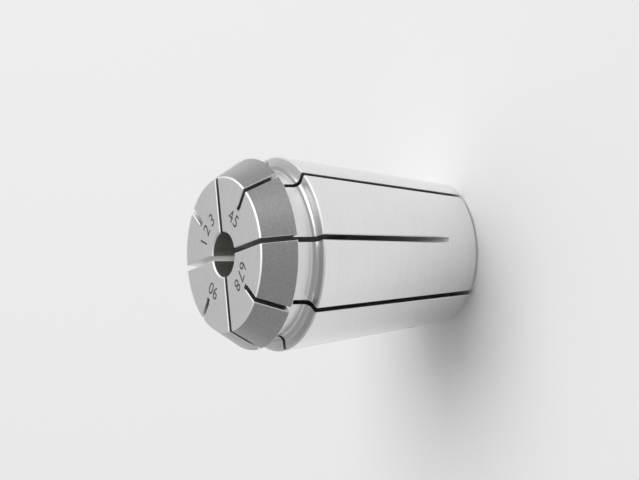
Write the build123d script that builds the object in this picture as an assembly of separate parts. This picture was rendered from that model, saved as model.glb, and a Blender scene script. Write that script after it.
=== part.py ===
"""ER25 tapping collet for a 6 mm shank with a 4.9 mm square: one slotted sleeve of spring steel.

Millimetres. The small rear face lies on z = 0 with the axis through the origin, and +Z runs along
the axis to the front face, where the shank goes in. Four slots are sawn from the front, on the X
and Y axes, and four from the rear, half way between them, so that eight jaws close evenly and stay
one piece: the rear slots leave a web round the bore at the front, the front slots one at the rear.
"""

import os
from math import radians, sqrt, tan

from build123d import *

# Outside, from the rear face to the front face
LENGTH = 34.0
SEAT_DIAMETER = 26.0  # at the front end of the seat taper, where the collet is largest
SEAT_HALF_ANGLE = 8.0  # of the taper that seats in the chuck
GROOVE_WIDTH = 3.68  # of the groove that the clamping nut's extraction ring snaps into
GROOVE_DEPTH = 2.0  # below the seat's front edge
GROOVE_CORNER_RADIUS = 0.9  # at its rear corner
NOSE_LENGTH = 4.32
NOSE_HALF_ANGLE = 30.0  # of the cone that the clamping nut presses on
NOSE_STEP = 0.2  # how far the nose's rim lies inside the seat's front edge

# Bevels on the outside edges, and in the front corner of the groove
REAR_EDGE_BEVEL = 0.5
SEAT_EDGE_BEVEL = 0.2
NOSE_EDGE_BEVEL = 0.15
FACE_EDGE_BEVEL = 0.15
GROOVE_CORNER_BEVEL = 0.3

# The hole through it, from the front: round for the shank, square for its drive, then relieved
SHANK_DIAMETER = 6.0
SHANK_DEPTH = 18.0
SQUARE_WIDTH = 4.9
SQUARE_LENGTH = 10.0
RELIEF_DIAMETER = 8.0
MOUTH_CHAMFER = 0.18
RELIEF_CHAMFER = 0.4

# The saw cuts
SLOTS_PER_END = 4
SLOT_WIDTH = 0.7
SAW_DIAMETER = 63.0
SLOT_FLOOR_RADIUS = 1.0  # how near the axis the saw goes, inside the bore
REAR_WEB_LENGTH = 4.9  # left uncut by the front slots, on the outside, at the rear face
FRONT_WEB_RADIUS = 7.1  # of the middle of the front face, left uncut by the rear slots
SLOT_EDGE_BREAK = 0.1  # the small bevel along the slots' outer edges

# Worked out from the sizes above
NOSE_REAR_Z = LENGTH - NOSE_LENGTH
SEAT_FRONT_Z = NOSE_REAR_Z - GROOVE_WIDTH
SEAT_RADIUS = SEAT_DIAMETER / 2
GROOVE_RADIUS = SEAT_RADIUS - GROOVE_DEPTH
NOSE_RADIUS = SEAT_RADIUS - NOSE_STEP
FACE_RADIUS = NOSE_RADIUS - NOSE_LENGTH * tan(radians(NOSE_HALF_ANGLE))
REAR_RADIUS = SEAT_RADIUS - SEAT_FRONT_Z * tan(radians(SEAT_HALF_ANGLE))
SQUARE_FRONT_Z = LENGTH - SHANK_DEPTH
RELIEF_DEPTH = SQUARE_FRONT_Z - SQUARE_LENGTH
REAR_WEB_RADIUS = REAR_RADIUS + REAR_WEB_LENGTH * tan(radians(SEAT_HALF_ANGLE))

# Cutters
OVERRUN = 1.0  # how far they stand out past the metal
SKIM = 0.05  # how far those that break edges stand out of the surface


def corner(outline, point):
    """The outline's vertex at a point."""
    return outline.vertices().sort_by_distance(point)[0]


def turned_blank():
    """The sleeve before its hole is made, turned from its half outline."""
    face_rim = (FACE_RADIUS, LENGTH)
    nose_rim = (NOSE_RADIUS, NOSE_REAR_Z)
    groove_front = (GROOVE_RADIUS, NOSE_REAR_Z)
    groove_rear = (GROOVE_RADIUS, SEAT_FRONT_Z)
    seat_rim = (SEAT_RADIUS, SEAT_FRONT_Z)
    rear_rim = (REAR_RADIUS, 0)
    points = [(0, LENGTH), face_rim, nose_rim, groove_front, groove_rear, seat_rim, rear_rim, (0, 0)]
    outline = make_face(Polyline(*points, close=True))
    outline = fillet(corner(outline, groove_rear), GROOVE_CORNER_RADIUS)
    bevels = [
        (face_rim, FACE_EDGE_BEVEL),
        (nose_rim, NOSE_EDGE_BEVEL),
        (groove_front, GROOVE_CORNER_BEVEL),
        (seat_rim, SEAT_EDGE_BEVEL),
        (rear_rim, REAR_EDGE_BEVEL),
    ]
    for point, width in bevels:
        outline = chamfer(corner(outline, point), width)
    return revolve(Plane.XZ * outline, Axis.Z)


def cylinder_between(radius, low, high):
    """A cylinder on the axis from one height to another."""
    return Pos(0, 0, (low + high) / 2) * Cylinder(radius, high - low)


def through_hole():
    """The shank bore, the square behind it and the relief at the rear, with their chamfers."""
    shank = cylinder_between(SHANK_DIAMETER / 2, SQUARE_FRONT_Z, LENGTH + OVERRUN)
    square_middle = (RELIEF_DEPTH + SQUARE_FRONT_Z) / 2
    square = Pos(0, 0, square_middle) * Box(SQUARE_WIDTH, SQUARE_WIDTH, SQUARE_LENGTH)
    relief = cylinder_between(RELIEF_DIAMETER / 2, -OVERRUN, RELIEF_DEPTH)
    mouth_radius = SHANK_DIAMETER / 2 + MOUTH_CHAMFER
    mouth = Pos(0, 0, LENGTH - mouth_radius / 2) * Cone(0, mouth_radius, mouth_radius)
    exit_radius = RELIEF_DIAMETER / 2 + RELIEF_CHAMFER
    exit_cone = Pos(0, 0, exit_radius / 2) * Cone(exit_radius, 0, exit_radius)
    return [shank, square, relief, mouth, exit_cone]


def run_out(depth):
    """Length over which a saw's round edge climbs out of a cut of some depth."""
    return sqrt(SAW_DIAMETER * depth - depth**2)


def saw_cut(entry_z, end_z, end_radius):
    """One slot in the +X side, from past entry_z until the saw leaves the metal at end_z."""
    feed = 1 if end_z > entry_z else -1
    centre_z = end_z - feed * run_out(end_radius - SLOT_FLOOR_RADIUS)
    start_z = entry_z - feed * OVERRUN
    centre_x = SLOT_FLOOR_RADIUS + SAW_DIAMETER / 2
    saw = Pos(centre_x, centre_z) * Circle(SAW_DIAMETER / 2)
    swept = Pos(centre_x, (start_z + centre_z) / 2) * Rectangle(SAW_DIAMETER, abs(centre_z - start_z))
    return extrude(Plane.XZ * (saw + swept), SLOT_WIDTH / 2, both=True)


def edge_break(start, end):
    """V-shaped cutter along a slot in the +X side, over a straight stretch of the outline.

    The stretch is given as (radius, z) points and goes round from the front face to the rear one,
    so that the metal lies on the cutter's inner side.
    """
    origin = Vector(start[0], 0, start[1])
    direction = Vector(end[0], 0, end[1]) - origin
    depth = SLOT_WIDTH / 2 + SLOT_EDGE_BREAK
    half_width = depth + SKIM
    section = make_face(Polyline((0, -depth), (half_width, SKIM), (-half_width, SKIM), close=True))
    stretch = Plane(origin=origin, x_dir=(0, 1, 0), z_dir=direction)
    return extrude(stretch * section, direction.length)


def beyond(start, end, length):
    """The point that lies past end by a length, on the line from start."""
    way = Vector(*end) - Vector(*start)
    point = Vector(*end) + way.normalized() * length
    return (point.X, point.Y)


def slot_cutters(entry_z, end_z, end_radius):
    """The saw cut and the edge breaks of one slot in the +X side."""
    from_front = end_z < entry_z
    inset = SLOT_WIDTH / 2 + SLOT_EDGE_BREAK
    face_rim = (FACE_RADIUS, LENGTH)
    nose_rim = (NOSE_RADIUS, NOSE_REAR_Z)
    seat_rim = (SEAT_RADIUS, SEAT_FRONT_Z)
    rear_rim = (REAR_RADIUS, 0)
    face_start = (0, LENGTH) if from_front else (end_radius + inset, LENGTH)
    seat_end = (end_radius, end_z + inset) if from_front else beyond(seat_rim, rear_rim, OVERRUN)
    cutters = [
        saw_cut(entry_z, end_z, end_radius),
        edge_break(face_start, beyond(face_start, face_rim, OVERRUN)),
        edge_break(beyond(nose_rim, face_rim, OVERRUN), beyond(face_rim, nose_rim, OVERRUN)),
        edge_break(beyond(rear_rim, seat_rim, OVERRUN), seat_end),
    ]
    if not from_front:
        cutters.append(edge_break(beyond((0, 0), rear_rim, OVERRUN), (0, 0)))
    return cutters


def collet():
    """The whole collet."""
    pitch = 360 / SLOTS_PER_END
    front_slots = PolarLocations(0, SLOTS_PER_END)
    rear_slots = PolarLocations(0, SLOTS_PER_END, start_angle=pitch / 2)
    body = turned_blank() - through_hole()
    for cutter in slot_cutters(LENGTH, REAR_WEB_LENGTH, REAR_WEB_RADIUS):
        body -= front_slots * cutter
    for cutter in slot_cutters(0, LENGTH, FRONT_WEB_RADIUS):
        body -= rear_slots * cutter
    return body


os.makedirs("parts", exist_ok=True)
part = collet()
part.label = "collet"
export_step(part, "parts/collet.step")
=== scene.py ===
"""Looks of the ER collet: finished steel, etched numerals, a floor, soft light and the camera."""
from math import cos, radians, sin
from typing import NamedTuple

import bmesh
import bpy
from mathutils import Matrix, Vector


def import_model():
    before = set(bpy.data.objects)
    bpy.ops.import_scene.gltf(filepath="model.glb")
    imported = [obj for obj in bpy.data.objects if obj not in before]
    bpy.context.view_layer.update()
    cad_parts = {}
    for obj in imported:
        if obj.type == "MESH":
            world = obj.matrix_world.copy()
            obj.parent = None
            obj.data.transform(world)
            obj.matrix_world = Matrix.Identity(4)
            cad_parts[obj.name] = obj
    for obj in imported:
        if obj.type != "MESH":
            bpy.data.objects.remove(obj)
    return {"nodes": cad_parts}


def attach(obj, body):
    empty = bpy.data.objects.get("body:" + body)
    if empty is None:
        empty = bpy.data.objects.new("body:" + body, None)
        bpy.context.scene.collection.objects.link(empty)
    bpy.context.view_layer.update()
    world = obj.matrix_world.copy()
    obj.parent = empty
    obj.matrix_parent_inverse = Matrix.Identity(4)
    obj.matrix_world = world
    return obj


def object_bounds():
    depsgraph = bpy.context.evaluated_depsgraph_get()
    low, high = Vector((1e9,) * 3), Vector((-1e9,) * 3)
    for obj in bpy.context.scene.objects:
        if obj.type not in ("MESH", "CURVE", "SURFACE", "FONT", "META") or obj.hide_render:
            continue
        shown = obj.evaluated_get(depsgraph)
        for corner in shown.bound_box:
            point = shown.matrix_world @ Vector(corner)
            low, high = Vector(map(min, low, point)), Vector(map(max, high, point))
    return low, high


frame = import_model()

cad_low, cad_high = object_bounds()
collet = frame["nodes"]["collet"]

# Sizes are in millimetres and angles in radians, unless they say otherwise. MM makes metres of them.
MM = 0.001
AXIS = Vector((0, 0, 1))

# The collet's own sizes, as in its CAD source
LENGTH = (cad_high.z - cad_low.z) / MM
NOSE_LENGTH = 4.32
NOSE_HALF_ANGLE = radians(30)
GROOVE_WIDTH = 3.68
SEAT_HALF_ANGLE = radians(8)
NOSE_REAR_Z = LENGTH - NOSE_LENGTH
SEAT_FRONT_Z = NOSE_REAR_Z - GROOVE_WIDTH
MIDDLE = Vector((0, 0, LENGTH / 2))

# The camera looks along a line this far off the axis, with the slot nearest to it turned a little up
SIGHT_OFF_AXIS = radians(60.09)
SLOT_TURN = radians(10.17)
ROLL = radians(-0.37)
DISTANCE = 565.0
AIM_RIGHT = -1.983  # how far right of the collet's middle it aims, and how far above
AIM_UP = 1.844
LENS = 236.9

# Directions round the collet: towards the camera, and up in the picture
NEAR = Vector((-sin(SLOT_TURN), -cos(SLOT_TURN), 0))
UP = AXIS.cross(NEAR)


# ---------------------------------------------------------------- materials


def grey(level):
    """A colour with no tint."""
    return (level, level, level, 1)


class Finish(NamedTuple):
    """A surface's darkest and lightest colour, its roughness, and how much its marks add to that."""

    dark: tuple
    light: tuple
    roughness: float
    uneven: float = 0.0


# The broken edges' light colour is partly a painted highlight, lighter than the steel itself.
EDGES_WITH_PAINTED_HIGHLIGHT = Finish(grey(0.92), grey(0.92), 0.60)
# The groove's and seat's light colours are partly a painted reflection, lighter than the steel
# itself; their marks and roughness are their own.
GROOVE_WITH_PAINTED_REFLECTION = Finish(grey(0.80), grey(0.80), 0.32)
SEAT_WITH_PAINTED_REFLECTION = Finish(grey(0.80), grey(0.88), 0.08, 0.12)
NOSE = Finish(grey(0.48), grey(0.60), 0.36, 0.08)
ENDS = Finish(grey(0.62), grey(0.73), 0.42, 0.10)
SAWN = Finish((0.70, 0.69, 0.66, 1), (0.84, 0.83, 0.80, 1), 0.28)
BORED = Finish((0.50, 0.49, 0.455, 1), (0.66, 0.65, 0.605, 1), 0.47)

# How the shader tells the surfaces apart. A facing is a cosine: 1 is square on, 0 is edge on.
GROOVE_BLEND = 0.02  # height over which a finish fades, each side of the groove's edges
END_FACING = (0.95, 0.99)  # along the axis, where the flat ends' finish starts and where it is full
WALL_FACING = (0.2, 0.4)  # outward or along the axis, where the walls' finish fades and where it ends
BORE_FACING = (-0.8, -0.4)  # outward, where the bore's finish fades and where it ends
NOSE_TOLERANCE = 0.06  # of a facing, about the nose cone's own
SEAT_TOLERANCE = 0.008  # of a facing, about the seat taper's own

# The patterns of the marks, in noise cells to the millimetre
TURNED_ACROSS = 12.0
TURNED_ROUND = 1.2  # here to the radian
BRUSHED_ACROSS = 7.0
BRUSHED_ALONG = 0.5
MOTTLE = 3.2
GRAIN = 9.0

# What the patterns do: the values that give the darkest and the lightest colour, and their relief
TURNED_CONTRAST = (0.3, 0.7)
CONTRAST = (0.35, 0.65)
MARK_DEPTH = 0.004
MARK_STRENGTH = 0.25  # from 0 to 1


class Nodes:
    """A new material, and short calls for building its node tree."""

    def __init__(self, name):
        self.material = bpy.data.materials.new(name)
        self.material.use_nodes = True
        self.tree = self.material.node_tree
        self.tree.nodes.clear()

    def add(self, kind, inputs, **settings):
        """A new node. An input goes by its name or place, and is a value or another node's output."""
        node = self.tree.nodes.new(kind)
        for key, value in settings.items():
            setattr(node, key, value)
        for socket, value in inputs.items():
            if isinstance(value, bpy.types.NodeSocket):
                self.tree.links.new(value, node.inputs[socket])
            else:
                node.inputs[socket].default_value = value
        return node

    def math(self, operation, a, b=0.0, c=0.0):
        """A number worked out from up to three others."""
        return self.add("ShaderNodeMath", {0: a, 1: b, 2: c}, operation=operation).outputs[0]

    def vector(self, operation, a, b=(0, 0, 0)):
        """A number from LENGTH and DOT_PRODUCT, and a vector from the other operations."""
        node = self.add("ShaderNodeVectorMath", {0: a, 1: b}, operation=operation)
        return node.outputs["Value" if operation in ("LENGTH", "DOT_PRODUCT") else "Vector"]

    def combine(self, x=0.0, y=0.0, z=0.0):
        """A vector from its three parts."""
        return self.add("ShaderNodeCombineXYZ", {0: x, 1: y, 2: z}).outputs[0]

    def ramp(self, value, low, high, to_low=0.0, to_high=1.0):
        """A smooth step: to_low below low, to_high above high."""
        inputs = {0: value, 1: low, 2: high, 3: to_low, 4: to_high}
        return self.add("ShaderNodeMapRange", inputs, interpolation_type="SMOOTHSTEP").outputs[0]

    def noise(self, place, scale, detail, roughness):
        """A cloudy pattern about 0.5, with so many octaves of finer detail."""
        inputs = {"Vector": place, "Scale": scale, "Detail": detail, "Roughness": roughness}
        return self.add("ShaderNodeTexNoise", inputs).outputs[0]

    def mix(self, factor, a, b):
        """Two colours or two numbers, mixed."""
        if any(isinstance(end, tuple) or getattr(end, "type", "") == "RGBA" for end in (a, b)):
            return self.add("ShaderNodeMix", {0: factor, 6: a, 7: b}, data_type="RGBA").outputs[2]
        return self.add("ShaderNodeMix", {0: factor, 2: a, 3: b}, data_type="FLOAT").outputs[0]

    def finished(self, finish, tone, marks):
        """A finish's colour, shaded by one pattern, and its roughness, by another."""
        colour = self.mix(tone, finish.dark, finish.light)
        return colour, self.math("MULTIPLY_ADD", marks, finish.uneven, finish.roughness)

    def shade(self, kind, inputs):
        """Ends the tree in a shader, and returns the material."""
        shader = self.add(kind, inputs)
        self.add("ShaderNodeOutputMaterial", {"Surface": shader.outputs[0]})
        return self.material


def surfaces(n, z, facing_out, facing_front):
    """Where each surface lies, from 0 to 1.

    They are the groove, the seat, the nose, the flat ends and the walls of slots and bore. The last
    value tells the bore from the slots.
    """
    level = n.math("ABSOLUTE", facing_front)
    ahead = n.ramp(z, NOSE_REAR_Z - GROOVE_BLEND, NOSE_REAR_Z + GROOVE_BLEND)
    behind = n.ramp(z, SEAT_FRONT_Z - GROOVE_BLEND, SEAT_FRONT_Z + GROOVE_BLEND, 1, 0)
    beside = n.math("MAXIMUM", ahead, behind)
    groove = n.math("SUBTRACT", 1.0, beside)
    seat = n.math("COMPARE", facing_out, cos(SEAT_HALF_ANGLE), SEAT_TOLERANCE)
    nose = n.math("COMPARE", facing_front, sin(NOSE_HALF_ANGLE), NOSE_TOLERANCE)
    ends = n.ramp(level, *END_FACING)
    inward = n.ramp(facing_out, *WALL_FACING, 1, 0)
    upright = n.ramp(level, *WALL_FACING, 1, 0)
    return (
        groove,
        n.math("MULTIPLY", seat, behind),
        n.math("MULTIPLY", nose, ahead),
        n.math("MULTIPLY", ends, beside),
        n.math("MULTIPLY", inward, upright),
        n.ramp(facing_out, *BORE_FACING, 1, 0),
    )


def steel():
    """The metal, finished by place.

    The groove is turned, the seat ground, the nose blasted, the ends brushed, the slots sawn and the
    hole bored, with bright broken edges between them. The edges' light colour is partly a painted
    highlight, and the groove's and seat's light colours are partly a painted reflection.
    """
    n = Nodes("finished_steel")
    coordinates = n.add("ShaderNodeTexCoord", {}).outputs["Object"]
    place = n.vector("MULTIPLY", coordinates, (1 / MM, 1 / MM, 1 / MM))
    z = n.add("ShaderNodeSeparateXYZ", {0: place}).outputs["Z"]
    flat_place = n.vector("MULTIPLY", place, (1, 1, 0))
    radius = n.vector("LENGTH", flat_place)
    outward = n.vector("NORMALIZE", flat_place)
    normal = n.add("ShaderNodeNewGeometry", {}).outputs["Normal"]
    facing_out = n.vector("DOT_PRODUCT", normal, outward)
    facing_front = n.vector("DOT_PRODUCT", normal, tuple(AXIS))
    in_groove, on_seat, on_nose, on_ends, on_walls, in_bore = surfaces(n, z, facing_out, facing_front)

    # Marks: lines round the collet, straight lines across its ends, and a blasted grain
    along = n.math("MULTIPLY", n.math("ADD", z, radius), TURNED_ACROSS)
    round_it = n.vector("MULTIPLY", outward, (TURNED_ROUND, TURNED_ROUND, 0))
    turned = n.noise(n.vector("ADD", round_it, n.combine(z=along)), 1.0, 4.0, 0.7)
    across = n.vector("DOT_PRODUCT", place, tuple(BRUSHED_ACROSS * NEAR))
    upward = n.vector("DOT_PRODUCT", place, tuple(BRUSHED_ALONG * UP))
    brushed = n.noise(n.combine(across, upward), 1.0, 4.0, 0.65)
    grain = n.noise(place, GRAIN, 2.0, 0.6)
    speckle = n.mix(0.5, n.noise(place, MOTTLE, 3.0, 0.6), grain)
    scratched = n.mix(0.5, brushed, grain)

    # Colour and roughness: each finish is laid over the ones before it
    turned_tone = n.ramp(turned, *TURNED_CONTRAST)
    speckle_tone = n.ramp(speckle, *CONTRAST)
    sawn = n.finished(SAWN, speckle_tone, speckle)
    bored = n.finished(BORED, speckle_tone, speckle)
    walls = [n.mix(in_bore, slot_value, bore_value) for slot_value, bore_value in zip(sawn, bored)]
    # The broken edges, and any place that no other finish covers, start from a colour lightened as a
    # painted highlight.
    colour, roughness = n.finished(EDGES_WITH_PAINTED_HIGHLIGHT, turned_tone, turned)
    for mask, (finish_colour, finish_roughness) in (
        # The groove and the seat take colours lightened as a painted reflection.
        (in_groove, n.finished(GROOVE_WITH_PAINTED_REFLECTION, turned_tone, turned)),
        (on_seat, n.finished(SEAT_WITH_PAINTED_REFLECTION, turned_tone, turned)),
        (on_nose, n.finished(NOSE, speckle_tone, speckle)),
        (on_ends, n.finished(ENDS, n.ramp(scratched, *CONTRAST), brushed)),
        (on_walls, walls),
    ):
        colour = n.mix(mask, colour, finish_colour)
        roughness = n.mix(mask, roughness, finish_roughness)

    # Relief
    height = n.mix(on_nose, n.mix(on_ends, turned, scratched), grain)
    bump_inputs = {"Strength": MARK_STRENGTH, "Distance": MARK_DEPTH * MM, "Height": height}
    bump = n.add("ShaderNodeBump", bump_inputs).outputs[0]
    inputs = {"Metallic": 1.0, "Base Color": colour, "Roughness": roughness, "Normal": bump}
    return n.shade("ShaderNodeBsdfPrincipled", inputs)


def etched():
    """The dark matt oxide of a laser mark."""
    inputs = {"Base Color": (0.055, 0.05, 0.045, 1), "Roughness": 0.6}
    return Nodes("etched_mark").shade("ShaderNodeBsdfPrincipled", inputs)


collet.material_slots[0].link = "OBJECT"
collet.material_slots[0].material = steel()


# ---------------------------------------------------------------- numerals

# Plain numerals round the front face: digit, and its angle up from the camera's side in degrees
NUMERALS = (
    ("1", 163), ("2", 144), ("3", 124),
    ("4", 66), ("5", 51),
    ("6", -16), ("7", -30), ("8", -46),
    ("9", -114), ("0", -127),
)
NUMERAL_RADIUS = 5.6
NUMERAL_HEIGHT = 1.75
MARK_THICKNESS = 0.02
CURVE_STEPS = 4  # straight pieces to each span of a digit's curves
WELD_DISTANCE = 0.0005


def numeral(digit, angle, material):
    """One digit with its top outward, a thin plate sunk into the face by half its thickness."""
    curve = bpy.data.curves.new("digit", "FONT")
    curve.body = digit
    curve.align_x = "CENTER"
    curve.size = 1
    text = bpy.data.objects.new("digit", curve)
    bpy.context.scene.collection.objects.link(text)
    bpy.context.view_layer.update()
    middle = sum(corner[1] for corner in text.bound_box) / len(text.bound_box)
    size = NUMERAL_HEIGHT / text.dimensions.y
    curve.size = size
    curve.extrude = MARK_THICKNESS / 2
    curve.resolution_u = CURVE_STEPS
    bpy.context.view_layer.update()
    plate = text.evaluated_get(bpy.context.evaluated_depsgraph_get())
    mesh = bpy.data.meshes.new_from_object(plate)
    outward = cos(radians(angle)) * NEAR + sin(radians(angle)) * UP
    turn = Matrix((outward.cross(AXIS), outward, AXIS)).transposed().to_4x4()
    base = (NUMERAL_RADIUS - middle * size) * outward + Vector((0, 0, LENGTH))
    mesh.transform(Matrix.Scale(MM, 4) @ Matrix.Translation(base) @ turn)
    mesh.materials.clear()
    mesh.materials.append(material)
    bpy.data.objects.remove(text)
    return mesh


def numerals():
    """All the digits, as one piece on the face."""
    joined = bmesh.new()
    material = etched()
    for digit, angle in NUMERALS:
        mesh = numeral(digit, angle, material)
        joined.from_mesh(mesh)
        bpy.data.meshes.remove(mesh)
    bmesh.ops.remove_doubles(joined, verts=joined.verts, dist=WELD_DISTANCE * MM)
    marks = bpy.data.meshes.new("face_numerals")
    joined.to_mesh(marks)
    joined.free()
    marks.materials.append(material)
    piece = bpy.data.objects.new("face_numerals", marks)
    bpy.context.scene.collection.objects.link(piece)
    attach(piece, "root")


numerals()


# ---------------------------------------------------------------- stage

# In metres, the scene's own unit
FLOOR_WIDTH = 6
LAMP_DISTANCE = 0.9

FLOOR_COLOUR = grey(0.88)
ROOM_LEVEL = 0.33


def floor():
    """A plain pale floor under the rear face."""
    bpy.ops.mesh.primitive_plane_add(size=FLOOR_WIDTH, location=(0, 0, 0))
    plane = bpy.context.object
    plane.name = "floor"
    material = Nodes("pale_floor").shade("ShaderNodeBsdfDiffuse", {"Color": FLOOR_COLOUR})
    plane.data.materials.append(material)


def world():
    """An even grey room, the same for the camera and for the metal."""
    room = bpy.data.worlds.new("studio")
    bpy.context.scene.world = room
    room.use_nodes = True
    background = room.node_tree.nodes["Background"]
    background.inputs["Color"].default_value = grey(1)
    background.inputs["Strength"].default_value = ROOM_LEVEL


def softbox(name, azimuth, elevation, width, power):
    """A square lamp aimed at the collet, with its width in metres and its power in watts.

    Its azimuth is in degrees from the camera's side, upward in the picture, and its elevation is in
    degrees above the floor.
    """
    data = bpy.data.lights.new(name, "AREA")
    data.size = width
    data.energy = power
    light = bpy.data.objects.new(name, data)
    bpy.context.scene.collection.objects.link(light)
    a, e = radians(azimuth), radians(elevation)
    direction = cos(e) * (cos(a) * NEAR + sin(a) * UP) + sin(e) * AXIS
    light.location = MIDDLE * MM + LAMP_DISTANCE * direction
    light.rotation_euler = direction.to_track_quat("Z", "Y").to_euler()


floor()
world()
softbox("key", azimuth=95, elevation=61, width=0.85, power=5.9)
softbox("fill", azimuth=175, elevation=62, width=0.7, power=1.3)


# ---------------------------------------------------------------- camera


def camera():
    """A long lens on the line of sight, turned so that the front face is at the picture's left."""
    back = cos(SIGHT_OFF_AXIS) * AXIS + sin(SIGHT_OFF_AXIS) * NEAR
    level = UP.cross(back).normalized()
    upright = back.cross(level)
    right = cos(ROLL) * level + sin(ROLL) * upright
    up = cos(ROLL) * upright - sin(ROLL) * level
    data = bpy.data.cameras.new("camera")
    data.lens = LENS
    view = bpy.data.objects.new("camera", data)
    bpy.context.scene.collection.objects.link(view)
    place = (MIDDLE + DISTANCE * back + AIM_RIGHT * right + AIM_UP * up) * MM
    view.matrix_world = Matrix.Translation(place) @ Matrix((right, up, back)).transposed().to_4x4()
    bpy.context.scene.camera = view


camera()
bpy.context.scene.view_settings.view_transform = "Standard"
